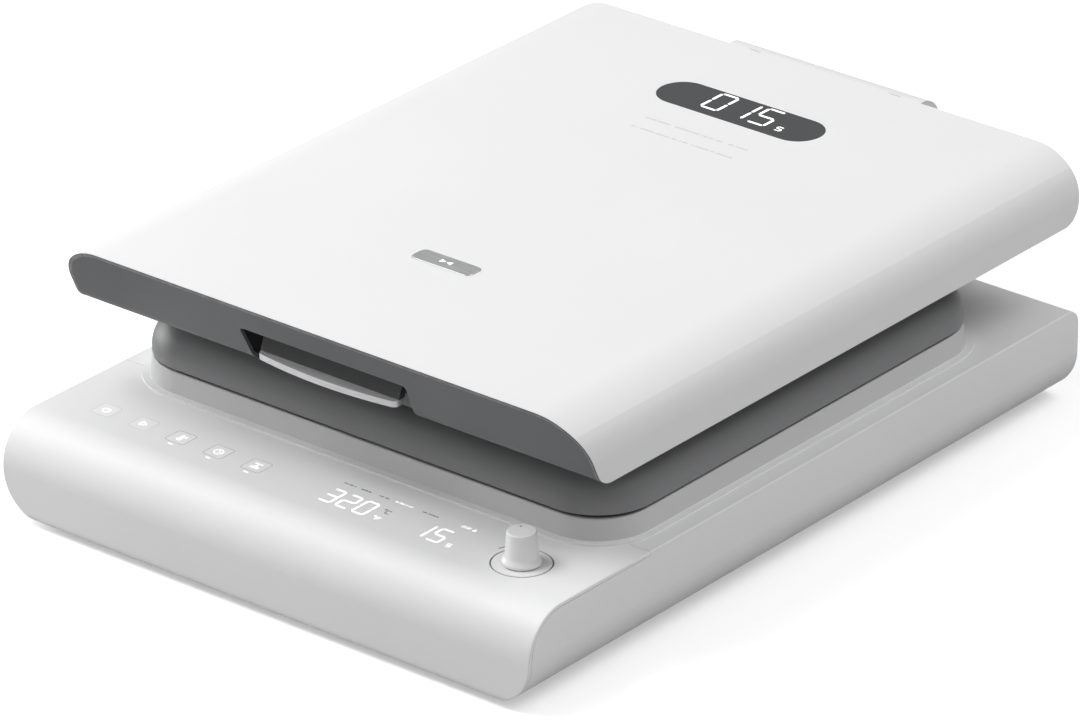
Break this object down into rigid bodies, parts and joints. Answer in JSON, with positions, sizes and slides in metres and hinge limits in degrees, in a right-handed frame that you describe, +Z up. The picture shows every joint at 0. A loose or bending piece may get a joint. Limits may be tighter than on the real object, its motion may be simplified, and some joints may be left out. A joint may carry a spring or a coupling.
{
  "type": "automatic heat press",
  "caption": "Desktop clamshell heat press: hinged lid with motor-lowered heated plate over a padded platform, front release handle, key panel and knob.",
  "frame": {"origin": "on the floor, in the middle of the area that the whole press covers", "axes": "+Z up, +Y towards the lid hinge at the rear, +X to the right of the user at the panel"},
  "size_m": [0.445, 0.6154, 0.1818],
  "materials": {
    "white_shell": "satin",
    "panel_white": "satin",
    "side_grey": "satin",
    "platform_grey": "satin",
    "dark_casing": "satin",
    "platen_coating": "satin",
    "dark_plastic": "matte",
    "black_plastic": "matte",
    "pad_silicone": "matte",
    "foot_rubber": "matte",
    "smoked_window": "gloss",
    "button_silver": "satin",
    "lip_aluminium": "brushed",
    "plate_aluminium": "satin",
    "steel_frame": "satin",
    "bright_steel": "polished",
    "gear_steel": "machined",
    "bronze": "machined",
    "board_green": "satin",
    "board_black": "satin",
    "led_white": "gloss",
    "insulation_wool": "matte",
    "knob_white": "satin",
    "motor_metal": "satin"
  },
  "bodies": {
    "base": {"main_shell": "side_grey", "front_cover": "panel_white", "bottom_pan": "dark_plastic", "rear_panel": "dark_plastic", "rubber_feet": "foot_rubber", "mains_inlet": "black_plastic", "rocker_frame": "black_plastic", "platform_casing": "platform_grey", "platform_frame": "steel_frame", "pad_plate": "plate_aluminium", "silicone_pad": "pad_silicone", "control_board": "board_green", "panel_display": "board_black", "touch_springs": "bright_steel", "encoder": "motor_metal", "power_board": "board_green", "power_parts": "black_plastic", "tower_front_cover": "white_shell", "tower_rear_cover": "white_shell", "hinge_bracket": "steel_frame", "hinge_bushes": "bronze"},
    "lid": {"lid_shell": "white_shell", "lid_fascia": "dark_casing", "lid_rear_cover": "dark_casing", "under_cover": "dark_casing", "lid_frame": "steel_frame", "guide_bushes": "bronze", "screw_bearing": "gear_steel", "gear_motor": "motor_metal", "display_window": "smoked_window", "lid_display_board": "board_green", "lid_display_leds": "led_white", "button_board": "board_green", "handle_bucket": "black_plastic", "handle_pin": "bright_steel", "handle_springs": "bright_steel", "frame_screws": "bright_steel", "hinge_shaft": "bright_steel", "lid_arms": "steel_frame"},
    "upper_platen": {"heat_plate": "plate_aluminium", "heating_element": "bright_steel", "insulation": "insulation_wool", "platen_pillars": "steel_frame", "carrier_plate": "plate_aluminium", "platen_casing": "platen_coating", "platen_trim": "dark_plastic", "guide_posts": "bright_steel", "lead_nut": "bronze", "thermostat": "black_plastic"},
    "lead_screw": {"lead_screw": "bright_steel", "drive_gear": "gear_steel"},
    "motor_rotor": {"motor_pinion": "gear_steel", "motor_shaft": "bright_steel"},
    "start_button": {"start_button": "button_silver"},
    "release_handle": {"handle_lever": "dark_casing", "handle_lip": "lip_aluminium"},
    "knob_plunger": {"encoder_plunger": "black_plastic"},
    "knob": {"knob": "knob_white", "encoder_shaft": "bright_steel"},
    "power_rocker": {"power_rocker": "black_plastic"}
  },
  "joints": [
    {"name": "lid_hinge", "type": "hinge", "parent": "base", "child": "lid", "pos_m": [0, 0.28775, 0.158], "axis": [-1, 0, 0], "range_deg": [0, 60]},
    {"name": "platen_lift", "type": "slide", "parent": "lid", "child": "upper_platen", "axis": [0, 0, 1], "range_m": [0, 0.006]},
    {"name": "screw_turn", "type": "hinge", "parent": "lid", "child": "lead_screw", "pos_m": [0, -0.00225, 0.15], "axis": [0, 0, 1], "range_deg": [0, 270]},
    {"name": "motor_turn", "type": "hinge", "parent": "lid", "child": "motor_rotor", "pos_m": [0, 0.04275, 0.15], "axis": [0, 0, 1], "range_deg": [-810, 0]},
    {"name": "start_press", "type": "slide", "parent": "lid", "child": "start_button", "axis": [0, 0, -1], "range_m": [0, 0.0008], "stiffness_N_per_m": 700, "springref_m": -0.0008},
    {"name": "handle_pull", "type": "hinge", "parent": "lid", "child": "release_handle", "pos_m": [0, -0.22452, 0.1571], "axis": [-1, 0, 0], "range_deg": [0, 20], "stiffness_Nm_per_rad": 0.3, "springref_deg": -20.05},
    {"name": "knob_press", "type": "slide", "parent": "base", "child": "knob_plunger", "axis": [0, 0, -1], "range_m": [0, 0.0005], "stiffness_N_per_m": 900, "springref_m": -0.0008},
    {"name": "knob_turn", "type": "hinge", "parent": "knob_plunger", "child": "knob", "pos_m": [0.169, -0.24925, 0.08], "axis": [0, 0, 1], "continuous": true},
    {"name": "rocker_tilt", "type": "hinge", "parent": "base", "child": "power_rocker", "pos_m": [0.095, 0.27325, 0.034], "axis": [0, 0, 1], "range_deg": [-16, 0]}
  ],
  "couplings": [
    {"joint": "screw_turn", "follows": "platen_lift", "rad_per_m": 785.4},
    {"joint": "motor_turn", "follows": "platen_lift", "rad_per_m": -2356.2}
  ]
}
